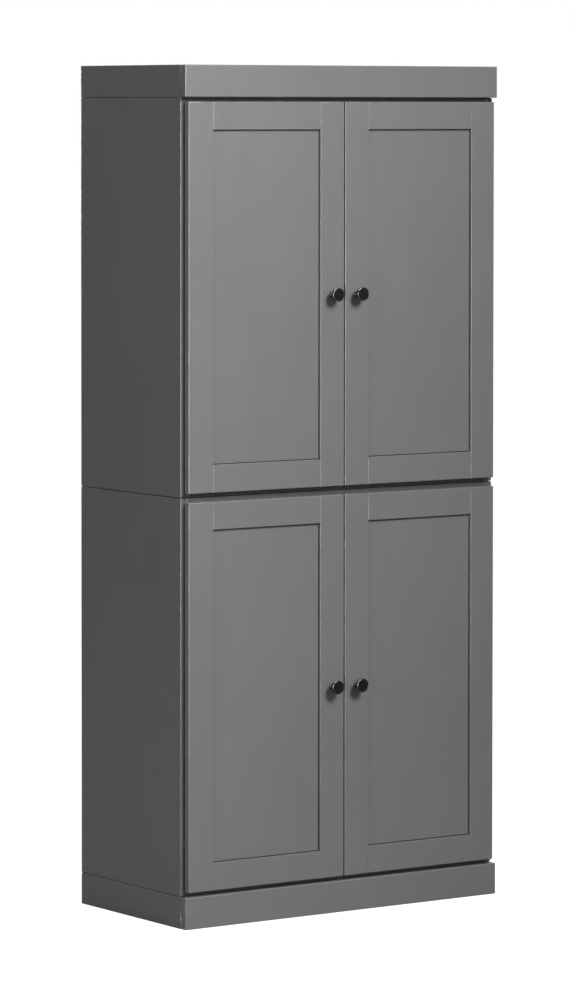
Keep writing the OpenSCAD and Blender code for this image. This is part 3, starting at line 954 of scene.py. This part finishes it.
def make_door(door):
    body = f"{door}_door"
    stiles = [f"{door}_{stile}" for stile in ("hinge_stile", "lock_stile")]
    boxes = [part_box(stile) for stile in stiles]
    low = Vector([min(box[0][i] for box in boxes) for i in range(3)])
    high = Vector([max(box[1][i] for box in boxes) for i in range(3)])
    edges = {"outline": (low, high), "outer": DOOR_ROUND}
    for stile in stiles:
        refine(stile, body, "door_board", "front_upright", FRAME_ROUND, **edges)
    for rail in ("top_rail", "bottom_rail"):
        refine(f"{door}_{rail}", body, "door_board", "front_level", FRAME_ROUND, **edges)
    make_panel(door, body)
    make_knob(door, body)
    make_knob_screw(door, body)
    make_hinge_cups(door, body)


def make_panel(door, body):
    """The flat panel, stepped back all round so that a fine dark line shows where it enters the frame."""
    node = f"{door}_panel"
    bm = solid_from(node)
    low, high = box_of(bm.verts)
    in_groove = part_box(f"{door}_bottom_rail")[1].z - low.z
    front = min(bm.faces, key=lambda face: face.calc_center_median().y)
    for thickness in (in_groove + PANEL_TRENCH, PANEL_RISER):
        bmesh.ops.inset_region(bm, faces=[front], thickness=thickness, use_even_offset=True)
    raised = set(front.verts)
    for vertex in bm.verts:
        if vertex not in raised and abs(vertex.co.y - low.y) < TOUCH:
            vertex.co.y += PANEL_STEP
    settle(rounded(node, bm, "front_upright", PANEL_ROUND), body, "door_board", node)


# Radius of the foot, and the radius towards which the neck bends
KNOB_FOOT = 9.0 * MM
KNOB_NECK = 5.6 * MM
# Rounding of the foot's edge and shoulder, and of the rim's two outer edges
FOOT_EDGE = 0.4 * MM
FOOT_SHOULDER = 1.1 * MM
KNOB_EDGE = 1.2 * MM
# Heights above the door: the middle of the shoulder's rounding, and the start of the neck
SHOULDER_HEIGHT = 1.7 * MM
NECK_HEIGHT = 3.0 * MM
# The rim's height and the slope behind it, the dish's depth, and how far its middle rises again
KNOB_RIM = 6.6 * MM
KNOB_BEVEL = 1.6 * MM
KNOB_DISH = 0.5 * MM
DISH_RISE = 0.2 * MM
# The rim's width as seen from the front, and the shares of the knob's radius where the dish has points
KNOB_RING = 1.9 * MM
DISH_SHARES = (0.8, 0.55, 0.3, 0)


def knob_foot():
    """The foot on the door."""
    edge = arc((KNOB_FOOT - FOOT_EDGE, FOOT_EDGE), FOOT_EDGE, -90, 0, steps=3)
    shoulder = arc((KNOB_FOOT - FOOT_SHOULDER, SHOULDER_HEIGHT), FOOT_SHOULDER, 0, 75, steps=4)
    return [(0, 0), *edge, *shoulder]


def knob_neck(radius, back):
    """The neck, which narrows from the foot and flares into the back of the head."""
    foot = (KNOB_FOOT - 1.6 * MM, NECK_HEIGHT)
    flare = (KNOB_NECK - 0.6 * MM, back - 4 * MM)
    return bezier(foot, (KNOB_NECK, NECK_HEIGHT + 0.6 * MM), flare, (radius - 3 * MM, back))


def knob_face(radius, reach):
    """The rim's inner edge and the dished face, which rises a little to its middle."""
    dish = reach - KNOB_DISH
    inner_edge = arc((radius - KNOB_RING, dish), KNOB_DISH, 90, 180, steps=4)
    return inner_edge + [(radius * share, dish + DISH_RISE * (1 - share * share)) for share in DISH_SHARES]


def knob_outline(radius, reach):
    """The turned outline, from the foot on the door to the dished face, and the stretches of its rim."""
    back = reach - KNOB_RIM - KNOB_BEVEL
    shoulder = arc((radius - KNOB_EDGE, back + KNOB_BEVEL), KNOB_EDGE, -60, 0, steps=4)
    rim = arc((radius - KNOB_EDGE, reach - KNOB_EDGE), KNOB_EDGE, 0, 90, steps=5)
    before_rim = knob_foot() + knob_neck(radius, back) + shoulder
    outline = before_rim + rim + knob_face(radius, reach)
    return outline, range(len(before_rim), len(before_rim) + len(rim) - 1)


def make_knob(door, body):
    node = f"{door}_knob"
    low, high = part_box(node)
    face_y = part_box(f"{door}_lock_stile")[0].y
    place = Vector(((low.x + high.x) / 2, face_y, (low.z + high.z) / 2))
    outline, rim = knob_outline((high.z - low.z) / 2, face_y - low.y)
    bm = bmesh.new()
    # The rim's stretches take the paler rim material, a painted highlight.
    add_turned(bm, outline, placed(place, FORWARD), turns=72, arris=rim)
    settle(turned_object(f"{node}_piece", bm, "bronze"), body, "knob_metal", node)


def make_knob_screw(door, body):
    """The screw that holds the knob from behind the door: the narrower solid of the knob's CAD node."""
    node = f"{door}_knob"
    bm = solid_from(node)
    for island in islands(bm):
        low, high = box_of(island)
        if high.z - low.z > 3 * FRAME_HEAD_RADIUS:
            bmesh.ops.delete(bm, geom=list(island), context="VERTS")
    heads = [end for end in round_ends(bm, FRAME_HEAD_RADIUS, Y) if end[1].y > 0]
    piece = rounded(f"{node}_screw", bm, "steel", METAL_ROUND, rim=HEAD_ROUND, recesses=heads)
    settle(piece, body, "steel", node)


def make_hinge_cups(door, body):
    node = f"{door}_hinge_cups"
    bm = solid_from(node)
    heads = [end for end in round_ends(bm, HEAD_RADIUS, Y) if end[1].y > 0]
    settle(rounded(node, bm, "steel", METAL_ROUND, rim=METAL_ROUND, recesses=heads), body, "steel", node)


SCENE.view_settings.view_transform = "Standard"
make_camera()
make_world()
make_floor()
make_lights()
FINISHES = make_finishes()
make_bands()
make_carcasses()
make_fittings()
make_back_nails()
for name in DOORS:
    make_door(name)
